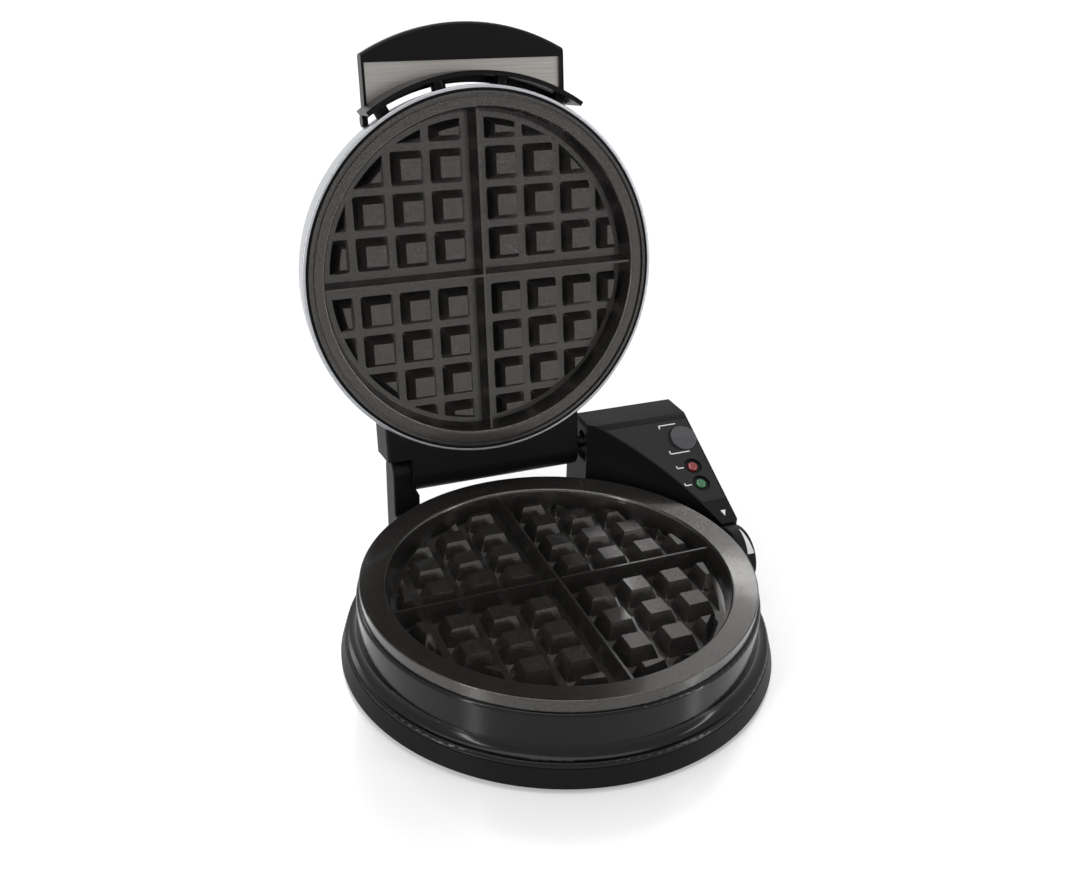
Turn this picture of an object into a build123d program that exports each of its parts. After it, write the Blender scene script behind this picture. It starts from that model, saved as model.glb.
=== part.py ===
"""Round waffle baker with a hinged lid, modelled standing open.

Frame: +X to the baker's right, +Y to its back, +Z up. The origin is on the table under
the middle of the round cooking plates. Millimetres throughout.
The lid's pieces are drawn closed, as they lie over the base, and then swung open.
"""
from build123d import *
import math
import os

os.makedirs("parts", exist_ok=True)

# Cooking plates
crest_z = 39.0              # top of the lower plate's dividing ridges
crest_gap = 7.2             # between the two plates' ridges with the lid down
ridge_reach = 90.2          # half length of a dividing ridge
ridge_top = 1.3             # ridge width at its crest
ridge_foot = 5.0            # ridge width at the floor
ridge_root = 0.5            # ridges start this far under the floor
recess_depth = 10.0         # crest to floor
recess_floor_r = 87.5
lip_r = 89.8                # inner edge of the ring round the recess
lip_round = 1.7
lower_lip_rise = 2.5        # lower ring's inner edge above the crest
plate_wall = 3.0
stud_base = 18.0
stud_top = 11.0
stud_height = 8.5
stud_pitch = 22.0
first_stud = 15.8           # from the ridge line to the middle of the first stud
stud_corner = 1.6
stud_field_r = 84.6         # studs are cut off beyond this radius

# Lower plate rim
lower_rim_r = 103.1
lower_rim_rise = 4.5        # outer edge above the crest, so the ring slopes inwards
rim_round = 0.6

# Upper plate rim
upper_rim_r = 98.3
upper_ring_rise = 2.3
upper_ring_r = 95.3
upper_bead_rise = 2.6
upper_bead_r = 96.8
upper_groove_rise = 1.2
upper_rim_depth = 2.5
upper_ring_step = 0.2       # slant of the groove's sides
upper_skirt = 1.3           # sheet left under the ring beside its ledge

# Heating elements and what holds them
element_ring_r = 58.0
element_tube_r = 3.25
element_gap_deg = 26.0
terminal_length = 26.0
sheet = 0.9                 # thickness of the sheet metal parts
spacer_r = 3.6
screw_shaft_r = 1.6
screw_head_r = 3.2
screw_head_h = 2.0
thread_depth = 5.0
fit_gap = 0.1               # between a part and the hole that it sits in
seat_gap = 0.2              # between fixed parts that lie side by side

# Base housing and pan
table_gap = 2.5             # pan edge above the table
foot_r = 7.5
foot_ring_r = 90.0
centre_rest_r = 12.0        # flat boss that touches the table under the middle
pan_edge_r = 114.1
pan_top_r = 111.6
pan_floor_z = 5.0
pan_wall = 2.2
parting_z = 11.8            # between the pan and the housing
parting_gap = 0.2
housing_wall = 2.4
flange_r = 111.3
flange_rise = 0.7
flange_round = 1.5
wall_foot_r = 104.9
housing_top_r = 104.8
housing_top_z = 36.8
housing_top_round = 1.6
room_foot_rise = 3.6        # cavity's slanted foot behind the fillet
seat_ring_r = 98.5          # inner edge of the ring that carries the lower plate
boss_ring_r = 97.6
boss_r = 4.5
boss_count = 4
boss_turn = 45.0
vent_ring_r = 62.0
vent_count = 12
vent_length = 20.0
vent_width = 3.0
heater_pan_z = 18.4         # sheet metal reflector under the lower plate
heater_pan_r = 80.0
heater_pan_rim = 5.0
sensor_r = 8.0

# Control tower at the right rear
tower_left = 58.5
tower_right = 122.0
tower_front = 21.5
tower_back = 124.0
tower_arc_r = 198.0         # hollow face towards the lid, a wide arc in plan
tower_arc_mid = (-72.3, -53.0)
tower_wall = 2.2
tower_top_z = 74.4
top_front_y = 92.9
top_back_y = 113.2
back_foot_z = 62.0          # where the slanted back meets the upright back
panel_slope_deg = 27.6
panel_front_z = 37.1        # height of the slope's front end
panel_top_y = 88.9          # upper seam of the label plate
panel_foot_y = 36.0         # lower seam of the label plate
panel_sheet = 0.8
panel_margin = 1.0
tower_round = 2.0

# Lamps and rocker on the slope
lamp_x = 110.8
red_lamp_y = 58.3
green_lamp_y = 47.3
lens_r = 3.1
lens_rise = 1.6
lens_length = 7.0
dish_r = 5.4
dish_depth = 1.3
rocker_x = 112.6
rocker_y = 76.4
rocker_r = 8.2
rocker_gap = 0.45
rocker_tilt = 5.0
rocker_crown = 2.7          # height over the slope at the middle
rocker_edge = 1.5           # height over the slope at the two ends
rocker_under = 0.3
rocker_dish = 1.4           # depth of the round dish that the rocker sits in
rocker_stem_r = 5.2
rocker_stem_end = 6.0
rocker_pivot = 4.2          # depth of the pivot under the slope
rocker_pin_r = 0.9
rocker_pin_end = 6.5
running_gap = 0.05          # round a pin or shaft that turns
switch_r = 7.0
switch_cup = 7.6
switch_depth = 15.0
board_depth = 16.5
board_sheet = 1.6
board_left = 104.0
board_right = 118.4
board_low_y = 40.5
board_high_y = 66.5
board_post_r = 1.8
sounder_r = 4.5
sounder_height = 6.0

# Colour dial
dial_y = 11.0
dial_z = 21.4
dial_r = 17.5
dial_left = 109.0
dial_right = 119.0
dial_gap = 0.7
dial_web = 3.0
dial_rim = 2.5
dial_shaft_r = 3.0
dial_hub_r = 6.0
shaft_end_x = 97.0
control_left = 90.5
control_right = 99.4
control_size = 16.0
bush_r = 4.6

# Hinge
hinge_y = 110.0
hinge_z = 56.75
lid_open = 98.5             # degrees from closed to the open stop
lid_float = 3.0             # how far the hinge can ride up in its slots
pin_r = 4.0
pin_reach = 8.0             # how far the rod goes into the post and the tower
rod_end_gap = 0.4
bar_r = 12.6
bar_left = -49.0
bar_right = 53.6
bridge_left = -63.2
post_left = -60.0
post_right = -49.6
post_shelf_right = -45.0
post_half = 9.0             # half depth of the post, and radius of its round top
post_shelf_z = 43.2
post_foot_z = 33.0
post_front_y = 80.0         # hidden foot inside the base
post_clearance = 0.8
slot_recess = 3.0
slot_wall = 3.0             # wall round the slot inside the tower
slot_recess_z = 49.0
slot_recess_top = 71.0
slot_recess_y = 97.0

# Lid
lid_r = 101.8
lid_wall_top_r = 99.8
lid_edge_z = 43.7
lid_shoulder_z = 62.0
lid_round = 12.0
hem_width = 1.9
bezel_in_r = 98.6
bezel_out_r = 99.6
bezel_edge_z = 44.4
bezel_step = 1.5
ledge_in_r = 95.5
ledge_sheet = 1.8
lid_pan_z = 67.0            # top of the sheet metal pan over the upper element
lid_pan_r = 84.0

# Handle
handle_half = 57.0
handle_side_y = -118.5
handle_tip_y = -133.2
handle_root_y = -70.0       # inside the lid, cut away there
handle_chord_y = -114.0
handle_low_z = 61.5
handle_top_z = 69.0
handle_deck_z = 64.7
handle_sheet = 0.7
handle_arm = 1.5
handle_arm_y = -86.0
arm_front = 22.0            # arm's cheek in front of and behind that place
arm_back = 12.0
deck_slit_r = 102.2
guard_in_r = 106.0
guard_out_r = 108.5
guard_deg = 34.0
guard_low_z = 43.5
rib_width = 4.0
rib_turns = (-29.0, -10.0, 10.0, 29.0)
bridge_turns = (66.0, 82.0, 98.0, 114.0)
lid_screw_z = 56.0
lid_screw_r = 99.1          # under the screws' heads, on the lid's inner face
lid_screw_length = 7.0
screw_hole_r = 97.0         # where the screws' holes start
handle_hole_length = 9.4
bridge_hole_length = 10.0
rim_screw_r = 0.8
rim_head_r = 1.6
rim_head_h = 1.2
rim_thread = 2.8
arm_boss_r = 3.4
arm_boss_rise = 1.4

# Cord entry at the back
gland_turn = 97.0          # degrees round from +X
gland_z = 27.4
gland_r = 5.5
gland_flange_r = 8.5
gland_flange = 2.5
gland_bore_r = 3.6
gland_length = 12.0
block_length = 26.0
block_width = 12.0
block_height = 10.0
block_place = (-10.0, 76.0)
bridge_front_y = 60.0       # inside the lid, cut away there

# Derived places
upper_crest_z = crest_z + crest_gap
lower_floor_z = crest_z - recess_depth
lower_under_z = lower_floor_z - plate_wall
upper_under_z = upper_crest_z + recess_depth + plate_wall
lower_rim_z = crest_z + lower_rim_rise
upper_ledge_z = upper_crest_z + upper_rim_depth
stud_taper = math.degrees(math.atan2((stud_base - stud_top) / 2, stud_height))
stud_rows = [first_stud + n * stud_pitch for n in range(4)]
hinge_axis = Axis((0, hinge_y, hinge_z), (-1, 0, 0))
slope = math.tan(math.radians(panel_slope_deg))
inner_studs = [(sx * first_stud, sy * first_stud) for sx in (-1, 1) for sy in (-1, 1)]
flange_arc_z = parting_z + parting_gap + flange_rise


def slope_z(y):
    """Height of the tower's slope over the place y."""
    return panel_front_z + (y - tower_front) * slope


def slope_plane(x, y, depth=0.0):
    """Plane on the slope at x, y, facing out, sunk by depth."""
    origin = Vector(x, y, slope_z(y))
    plane = Plane(origin=origin, x_dir=(1, 0, 0), z_dir=(0, -slope, 1))
    return plane.offset(-depth)


def save(part, name):
    """Label a finished piece and write it."""
    part.label = name
    export_step(part, f"parts/{name}.step")


def save_open(part, name):
    """Swing a piece of the lid open and write it."""
    save(part.rotate(hinge_axis, lid_open), name)


def turned(outline):
    """Solid of revolution about Z from an outline of radius and height."""
    with BuildPart() as piece:
        with BuildSketch(Plane.XZ):
            with BuildLine():
                Polyline(*outline, close=True)
            make_face()
        revolve(axis=Axis.Z)
    return piece.part


def circle_edge(piece, radius, z):
    """The piece's circular edge nearest to a radius and height."""
    circles = piece.edges().filter_by(GeomType.CIRCLE)
    return circles.sort_by(lambda e: abs(e.radius - radius) + abs(e.center().Z - z))[0]


def grid_plate(rim, lip_rise):
    """Cooking plate with its cooking side up and its crest at height 0."""
    floor = -recess_depth
    under = floor - plate_wall
    outline = [
        (0, under),
        (recess_floor_r - 1, under),
        (lip_r + plate_wall, lip_rise - plate_wall),
        *rim[::-1],
        (lip_r, lip_rise),
        (recess_floor_r, floor),
        (0, floor),
    ]
    with BuildPart() as studs:
        with BuildSketch(Plane.XY.offset(floor)):
            for x in stud_rows:
                for y in stud_rows:
                    if math.hypot(x - stud_base / 2, y - stud_base / 2) < stud_field_r:
                        with Locations((x, y), (-x, y), (x, -y), (-x, -y)):
                            RectangleRounded(stud_base, stud_base, stud_corner)
        extrude(amount=stud_height, taper=stud_taper)
        with BuildSketch(Plane.XY.offset(floor)):
            Circle(stud_field_r)
        extrude(amount=stud_height, taper=stud_taper, mode=Mode.INTERSECT)
    with BuildPart() as plate:
        add(turned(outline))
        fillet(circle_edge(plate, lip_r, lip_rise), lip_round)
        for section in (Plane.YZ, Plane.XZ):
            with BuildSketch(section.offset(-ridge_reach)):
                with BuildLine():
                    Polyline(
                        (-ridge_foot / 2, floor - ridge_root),
                        (ridge_foot / 2, floor - ridge_root),
                        (ridge_top / 2, 0),
                        (-ridge_top / 2, 0),
                        close=True,
                    )
                make_face()
            extrude(amount=2 * ridge_reach)
        add(studs.part)
        with Locations(*[Location((x, y, under), (180, 0, 0)) for x, y in inner_studs]):
            Hole(screw_shaft_r + fit_gap, depth=thread_depth)
    return plate.part


def element(z):
    """Tube heater bent in a ring, with both ends turned in towards the middle."""
    start = 90 + element_gap_deg / 2
    with BuildPart() as tube:
        with BuildSketch(Plane.XZ):
            with Locations((element_ring_r, z)):
                Circle(element_tube_r)
        revolve(axis=Axis.Z, revolution_arc=360 - element_gap_deg)
    ring = tube.part.rotate(Axis.Z, start)
    with BuildPart() as heater:
        add(ring)
        for turn in (start, start - element_gap_deg):
            a = math.radians(turn)
            end = Vector(element_ring_r * math.cos(a), element_ring_r * math.sin(a), z)
            out = Vector(-math.cos(a), -math.sin(a), 0)
            with BuildSketch(Plane(origin=end - out * element_tube_r * 0.9, z_dir=out)):
                Circle(element_tube_r * 0.9)
            extrude(amount=terminal_length)
    return heater.part


def spacers(low, high):
    """Four tube spacers between a plate and its sheet metal pan."""
    with BuildPart() as tubes:
        with BuildSketch(Plane.XY.offset(low)):
            with Locations(*inner_studs):
                Circle(spacer_r)
                Circle(screw_shaft_r + fit_gap, mode=Mode.SUBTRACT)
        extrude(amount=high - low)
    return tubes.part


def long_screws(places, head_z, length, up):
    """Pan head screws that stand along Z, with the shaft pointing up or down."""
    way = 1 if up else -1
    with BuildPart() as screws:
        with BuildSketch(Plane.XY.offset(head_z)):
            with Locations(*places):
                Circle(screw_head_r)
        extrude(amount=-way * screw_head_h)
        with BuildSketch(Plane.XY.offset(head_z)):
            with Locations(*places):
                Circle(screw_shaft_r)
        extrude(amount=way * length)
        with BuildSketch(Plane.XY.offset(head_z - way * screw_head_h)):
            with Locations(*places):
                Rectangle(screw_head_r * 1.3, 0.8)
        extrude(amount=way * 0.9, mode=Mode.SUBTRACT)
    return screws.part


# Lower cooking plate
lower_rim = [
    (lower_rim_r, lower_rim_rise),
    (lower_rim_r, housing_top_z - crest_z),
    (lower_rim_r - plate_wall, housing_top_z - crest_z),
    (lower_rim_r - plate_wall, lower_rim_rise - plate_wall),
]
with BuildPart() as lower_plate:
    add(grid_plate(lower_rim, lower_lip_rise).moved(Location((0, 0, crest_z))))
    fillet(circle_edge(lower_plate, lower_rim_r, crest_z + lower_rim_rise), rim_round)
save(lower_plate.part, "lower_grid_plate")

# Lower heater, its reflector, spacers, screws and heat sensor
save(element(lower_under_z - element_tube_r - running_gap), "lower_heating_element")

with BuildPart() as lower_reflector:
    add(turned([
        (0, heater_pan_z),
        (heater_pan_r, heater_pan_z),
        (heater_pan_r + heater_pan_rim, heater_pan_z + heater_pan_rim),
        (heater_pan_r + heater_pan_rim - sheet, heater_pan_z + heater_pan_rim),
        (heater_pan_r - sheet * 0.4, heater_pan_z + sheet),
        (0, heater_pan_z + sheet),
    ]))
    with BuildSketch(Plane.XY.offset(heater_pan_z)):
        Circle(sensor_r + 2 * fit_gap)
        with Locations(*inner_studs):
            Circle(screw_shaft_r + fit_gap)
    extrude(amount=sheet, mode=Mode.SUBTRACT)
save(lower_reflector.part, "lower_reflector")

save(spacers(heater_pan_z + sheet, lower_under_z), "lower_spacers")
lower_screw_length = lower_under_z - heater_pan_z + thread_depth - 1
save(long_screws(inner_studs, heater_pan_z, lower_screw_length, True), "lower_plate_screws")

with BuildPart() as heat_sensor:
    with BuildSketch(Plane.XY.offset(lower_under_z)):
        Circle(sensor_r)
    extrude(amount=-sensor_r * 0.7)
    with BuildSketch(Plane.XY.offset(lower_under_z - sensor_r * 0.7)):
        Circle(sensor_r * 0.75)
        with Locations((sensor_r * 0.35, 0), (-sensor_r * 0.35, 0)):
            Rectangle(0.8, sensor_r * 0.5, mode=Mode.SUBTRACT)
    extrude(amount=-sensor_r * 0.45)
save(heat_sensor.part, "heat_sensor")


def base_body(grow):
    """Solid inside the housing's outer profile, moved outwards by grow."""
    wall_r = wall_foot_r + grow
    fillet_r = flange_r - flange_round - wall_foot_r
    edge_r = flange_round + grow
    hollow_r = fillet_r - grow
    ridge_z = flange_arc_z + edge_r
    diagonal = math.sqrt(0.5)
    middle_r = flange_r - flange_round
    hollow_z = ridge_z + hollow_r
    low_z = parting_z + parting_gap
    crown = (housing_top_r + grow, housing_top_z)
    with BuildPart() as body:
        with BuildSketch(Plane.XZ):
            with BuildLine():
                Line((0, low_z), (flange_r + grow, low_z))
                Line((flange_r + grow, low_z), (flange_r + grow, flange_arc_z))
                ThreePointArc(
                    (flange_r + grow, flange_arc_z),
                    (middle_r + edge_r * diagonal, flange_arc_z + edge_r * diagonal),
                    (middle_r, ridge_z),
                )
                ThreePointArc(
                    (middle_r, ridge_z),
                    (middle_r - hollow_r * diagonal, hollow_z - hollow_r * diagonal),
                    (wall_r, hollow_z),
                )
                Line((wall_r, hollow_z), crown)
                Line(crown, (0, crown[1]))
                Line((0, crown[1]), (0, low_z))
            make_face()
        revolve(axis=Axis.Z)
    return body.part


def dial_drum(gap, left):
    """Cylinder round the colour dial, from left outwards."""
    with BuildPart() as drum:
        with BuildSketch(Plane.YZ.offset(left)):
            with Locations((dial_y, dial_z)):
                Circle(dial_r + gap)
        extrude(amount=dial_right + dial_gap - left)
    return drum.part


def block(low, high, mode=Mode.ADD):
    """Box between two corners."""
    size = [b - a for a, b in zip(low, high)]
    with Locations(low):
        return Box(*size, align=(Align.MIN, Align.MIN, Align.MIN), mode=mode)


boss_places = [
    (
        boss_ring_r * math.cos(math.radians(boss_turn + n * 360 / boss_count)),
        boss_ring_r * math.sin(math.radians(boss_turn + n * 360 / boss_count)),
    )
    for n in range(boss_count)
]
dial_wall_x = dial_left - dial_gap
dial_bay = (-dial_r - 2 * dial_gap, 14.0)
pan_cavity_z = pan_floor_z + pan_wall

# Base housing
gland_plane = Plane(
    origin=(0, 0, gland_z),
    x_dir=(0, 0, 1),
    z_dir=(math.cos(math.radians(gland_turn)), math.sin(math.radians(gland_turn)), 0),
)
housing_room = turned([
    (0, parting_z),
    (flange_r - housing_wall, parting_z),
    (wall_foot_r - housing_wall, parting_z + room_foot_rise),
    (housing_top_r - housing_wall, housing_top_z - housing_wall),
    (0, housing_top_z - housing_wall),
])
with BuildPart() as base_housing:
    add(base_body(0))
    fillet(circle_edge(base_housing, housing_top_r, housing_top_z), housing_top_round)
    add(housing_room, mode=Mode.SUBTRACT)
    with BuildSketch(Plane.XY.offset(housing_top_z - housing_wall - 1)):
        Circle(seat_ring_r)
    extrude(amount=housing_wall + 2, mode=Mode.SUBTRACT)
    with BuildSketch(Plane.XY.offset(pan_cavity_z)):
        with Locations(*boss_places):
            Circle(boss_r)
    extrude(amount=housing_top_z - housing_wall - pan_cavity_z + 0.5)
    with BuildSketch(Plane.XY.offset(pan_cavity_z)):
        with Locations(*boss_places):
            Circle(screw_shaft_r + fit_gap)
    extrude(amount=2 * thread_depth, mode=Mode.SUBTRACT)
    block(
        (dial_wall_x - pan_wall, dial_y + dial_bay[0], parting_z + parting_gap),
        (dial_wall_x, dial_y + dial_bay[1], flange_arc_z + 2.2),
    )
    add(dial_drum(dial_gap, dial_wall_x), mode=Mode.SUBTRACT)
    with BuildSketch(Plane.YZ.offset(control_right)):
        with Locations((dial_y, dial_z)):
            Circle(bush_r + fit_gap)
    extrude(amount=dial_left - control_right, mode=Mode.SUBTRACT)
    with BuildSketch(gland_plane.offset(seat_ring_r - 2)):
        Circle(gland_r + fit_gap)
    extrude(amount=12, mode=Mode.SUBTRACT)
save(base_housing.part, "base_housing")

# Pan under the base, with footings for the tower and the hinge post
pan_rooms = (
    ((tower_left, tower_front), (tower_right, tower_back)),
    ((post_left, post_front_y), (post_shelf_right, hinge_y + post_half)),
)
with BuildPart() as base_pan:
    add(turned([
        (0, table_gap),
        (pan_edge_r, table_gap),
        (pan_top_r, parting_z),
        (0, parting_z),
    ]))
    for low, high in pan_rooms:
        block((*low, table_gap), (*high, parting_z))
    fillet(base_pan.edges().filter_by(Axis.Z).group_by(Axis.X)[-1], tower_round)
    with BuildSketch(Plane.XY.offset(pan_cavity_z)):
        Circle(pan_top_r - pan_wall)
        for low, high in pan_rooms:
            with Locations(((low[0] + high[0]) / 2, (low[1] + high[1]) / 2)):
                Rectangle(high[0] - low[0] - 2 * pan_wall, high[1] - low[1] - 2 * pan_wall)
    extrude(amount=parting_z, mode=Mode.SUBTRACT)
    with BuildSketch(Plane.XY.offset(pan_floor_z)):
        Circle(pan_top_r - pan_wall)
    extrude(amount=-pan_floor_z, mode=Mode.SUBTRACT)
    block(
        (dial_wall_x - pan_wall, dial_y + dial_bay[0], pan_floor_z),
        (dial_wall_x, dial_y + dial_bay[1], parting_z),
    )
    add(dial_drum(dial_gap, dial_wall_x), mode=Mode.SUBTRACT)
    with BuildSketch(Plane.XY.offset(pan_floor_z)):
        with PolarLocations(vent_ring_r, vent_count):
            SlotOverall(vent_length, vent_width)
        with Locations(*boss_places):
            Circle(screw_shaft_r + fit_gap)
    extrude(amount=pan_wall, mode=Mode.SUBTRACT)
    with BuildSketch():
        Circle(centre_rest_r)
    extrude(amount=pan_floor_z)
save(base_pan.part, "base_pan")

save(long_screws(boss_places, pan_floor_z, pan_wall + 8, True), "base_screws")

with BuildPart() as rubber_feet:
    with BuildSketch():
        with PolarLocations(foot_ring_r, 4):
            Circle(foot_r)
    extrude(amount=pan_floor_z)
    chamfer(rubber_feet.edges().group_by(Axis.Z)[0], 0.6)
save(rubber_feet.part, "rubber_feet")

# Control tower
tower_side = [
    (tower_front, parting_z),
    (tower_front, panel_front_z),
    (panel_top_y, slope_z(panel_top_y)),
    (top_front_y, tower_top_z),
    (top_back_y, tower_top_z),
    (tower_back, back_foot_z),
    (tower_back, parting_z),
]
lamp_places = [(lamp_x, red_lamp_y), (lamp_x, green_lamp_y)]
panel_mid = ((tower_left + tower_right) / 2, (panel_foot_y + panel_top_y) / 2)
panel_length = (panel_top_y - panel_foot_y) / math.cos(math.radians(panel_slope_deg))
board_mid = ((board_left + board_right) / 2, (board_low_y + board_high_y) / 2)
board_width = board_right - board_left
board_length = (board_high_y - board_low_y) / math.cos(math.radians(panel_slope_deg))


def slope_disc(x, y, radius, depth, length):
    """Cylinder square to the slope, from depth downwards."""
    with BuildPart() as disc:
        with BuildSketch(slope_plane(x, y, depth)):
            Circle(radius)
        extrude(amount=-length)
    return disc.part


def tower_hollow(grow):
    """Round space on the lid's side of the tower, widened by grow."""
    with BuildPart() as hollow:
        with BuildSketch():
            with Locations(tower_arc_mid):
                Circle(tower_arc_r + grow)
        extrude(amount=2 * tower_top_z)
    return hollow.part


def label_plate(grow):
    """Label plate of the slope, or with grow the recess that it lies in."""
    with BuildPart() as plate:
        with BuildSketch(slope_plane(*panel_mid)):
            Rectangle(tower_right - tower_left - 2 * panel_margin + 2 * grow, panel_length + 2 * grow)
        extrude(amount=-panel_sheet)
        add(tower_hollow(panel_margin - grow), mode=Mode.SUBTRACT)
        with Locations(slope_plane(rocker_x, rocker_y).location):
            Cylinder(rocker_r + rocker_gap, 4, mode=Mode.SUBTRACT)
        for x, y in lamp_places:
            with Locations(slope_plane(x, y).location):
                Cylinder(dish_r, 4, mode=Mode.SUBTRACT)
    return plate.part


def slot_block(wall, reach):
    """Upright slot that guides the rod's end, widened by wall and as long as reach."""
    width = 2 * (pin_r + wall)
    with BuildPart() as slot:
        with BuildSketch(Plane.YZ):
            with Locations((hinge_y, hinge_z + lid_float / 2)):
                SlotOverall(width + lid_float, width, rotation=90)
        extrude(amount=reach)
    return slot.part


# Room inside the tower's walls
slot_reach = slot_recess + pin_reach
with BuildPart() as tower_room:
    with BuildSketch(Plane.YZ.offset(tower_left + tower_wall)):
        with BuildLine():
            Polyline(*tower_side, close=True)
        make_face()
        offset(amount=-tower_wall, kind=Kind.INTERSECTION)
    extrude(amount=tower_right - tower_left - 2 * tower_wall)
    block(
        (tower_left + tower_wall, tower_front + tower_wall, parting_z),
        (tower_right - tower_wall, tower_back - tower_wall, parting_z + 2 * tower_wall),
    )
    add(tower_hollow(tower_wall), mode=Mode.SUBTRACT)
    add(base_body(seat_gap + tower_wall), mode=Mode.SUBTRACT)
    add(dial_drum(dial_gap + tower_wall, dial_wall_x - tower_wall), mode=Mode.SUBTRACT)
    add(
        slot_block(slot_wall, slot_reach + tower_wall).moved(Location((tower_left, 0, 0))),
        mode=Mode.SUBTRACT,
    )
    block(
        (tower_left, slot_recess_y - tower_wall, slot_recess_z - tower_wall),
        (tower_left + slot_recess + tower_wall, tower_back, slot_recess_top + tower_wall),
        mode=Mode.SUBTRACT,
    )
    for x in (board_left + board_post_r, board_right - board_post_r):
        for y in (board_low_y + board_post_r, board_high_y - board_post_r):
            add(slope_disc(x, y, board_post_r, 0, board_depth), mode=Mode.SUBTRACT)

with BuildPart() as control_housing:
    with BuildSketch(Plane.YZ.offset(tower_left)):
        with BuildLine():
            Polyline(*tower_side, close=True)
        make_face()
    extrude(amount=tower_right - tower_left)
    fillet(control_housing.edges().filter_by(Axis.Z).group_by(Axis.X)[-1], tower_round)
    add(tower_hollow(0), mode=Mode.SUBTRACT)
    add(base_body(seat_gap), mode=Mode.SUBTRACT)
    with BuildSketch(Plane.XY.offset(parting_z)):
        Circle(flange_r + seat_gap)
    extrude(amount=flange_rise + parting_gap, mode=Mode.SUBTRACT)
    add(tower_room.part, mode=Mode.SUBTRACT)
    add(dial_drum(dial_gap, dial_wall_x), mode=Mode.SUBTRACT)
    block(
        (tower_left, slot_recess_y, slot_recess_z),
        (tower_left + slot_recess, tower_back, slot_recess_top),
        mode=Mode.SUBTRACT,
    )
    add(slot_block(running_gap, slot_reach).moved(Location((tower_left, 0, 0))), mode=Mode.SUBTRACT)
    add(label_plate(fit_gap), mode=Mode.SUBTRACT)
    add(slope_disc(rocker_x, rocker_y, rocker_r + rocker_gap, -1, rocker_dish + 1), mode=Mode.SUBTRACT)
    add(slope_disc(rocker_x, rocker_y, rocker_stem_r + rocker_gap, 0, 2 * tower_wall), mode=Mode.SUBTRACT)
    for x, y in lamp_places:
        add(slope_disc(x, y, dish_r, -1, dish_depth + 1), mode=Mode.SUBTRACT)
        add(slope_disc(x, y, lens_r + fit_gap, 0, 2 * tower_wall), mode=Mode.SUBTRACT)
save(control_housing.part, "control_housing")

save(label_plate(0), "control_label_plate")


def lens(x, y):
    """Lamp lens with a domed tip and a flange under the tower's wall."""
    with BuildPart() as cap:
        add(slope_disc(x, y, lens_r, dish_depth - lens_rise, tower_wall - dish_depth + lens_rise))
        fillet(cap.edges().filter_by(GeomType.CIRCLE).group_by(Axis.Z)[-1], 1.2)
        add(slope_disc(x, y, lens_r + 1.2, tower_wall, 1.0))
        add(slope_disc(x, y, lens_r - 0.6, tower_wall + 1, lens_length - 1))
    return cap.part


save(lens(lamp_x, red_lamp_y), "power_lamp_lens")
save(lens(lamp_x, green_lamp_y), "ready_lamp_lens")

# Circuit board with its two lamps and its sounder
with BuildPart() as circuit_board:
    with BuildSketch(slope_plane(*board_mid, board_depth)):
        Rectangle(board_width, board_length)
    extrude(amount=-board_sheet)
save(circuit_board.part, "circuit_board")

lamp_top = tower_wall + lens_length + seat_gap
with BuildPart() as indicator_lamps:
    for x, y in lamp_places:
        add(slope_disc(x, y, 2.2, lamp_top, board_depth - lamp_top))
save(indicator_lamps.part, "indicator_lamps")

with BuildPart() as sounder:
    with BuildSketch(slope_plane(*board_mid, board_depth + board_sheet)):
        Circle(sounder_r)
        Circle(0.9, mode=Mode.SUBTRACT)
    extrude(amount=-sounder_height)
save(sounder.part, "sounder")

# Texture rocker and its switch
rocker_plane = slope_plane(rocker_x, rocker_y)
rocker_side = Plane(origin=rocker_plane.origin, x_dir=rocker_plane.y_dir, z_dir=(1, 0, 0))
with BuildPart() as rocker:
    with BuildSketch(rocker_side.offset(-rocker_r)):
        with BuildLine():
            Polyline(
                (-rocker_r, -rocker_under),
                (rocker_r, -rocker_under),
                (rocker_r, rocker_edge),
                (0, rocker_crown),
                (-rocker_r, rocker_edge),
                close=True,
            )
        make_face()
    extrude(amount=2 * rocker_r)
    with Locations(rocker_plane.location):
        Cylinder(rocker_r, 12, mode=Mode.INTERSECT)
    fillet(rocker.edges().filter_by(GeomType.ELLIPSE), 0.7)
    add(slope_disc(rocker_x, rocker_y, rocker_stem_r, rocker_under, rocker_stem_end - rocker_under))
    with BuildSketch(rocker_side.offset(-rocker_pin_end)):
        with Locations((0, -rocker_pivot)):
            Circle(rocker_pin_r)
    extrude(amount=2 * rocker_pin_end)
rocker_axis = Axis(slope_plane(rocker_x, rocker_y, rocker_pivot).origin, (1, 0, 0))
save(rocker.part.rotate(rocker_axis, rocker_tilt), "texture_rocker")

with BuildPart() as texture_switch:
    add(slope_disc(rocker_x, rocker_y, switch_r, tower_wall, switch_depth - tower_wall))
    add(
        slope_disc(rocker_x, rocker_y, rocker_stem_r + rocker_gap, 0, switch_cup),
        mode=Mode.SUBTRACT,
    )
    with BuildSketch(rocker_side.offset(-rocker_pin_end - fit_gap)):
        with Locations((0, -rocker_pivot)):
            Circle(rocker_pin_r + running_gap)
    extrude(amount=2 * (rocker_pin_end + fit_gap), mode=Mode.SUBTRACT)
    with BuildSketch(slope_plane(rocker_x, rocker_y, switch_depth)):
        with GridLocations(6, 1, 2, 1):
            Rectangle(0.8, 4.8)
    extrude(amount=-7)
save(texture_switch.part, "texture_switch")

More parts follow.
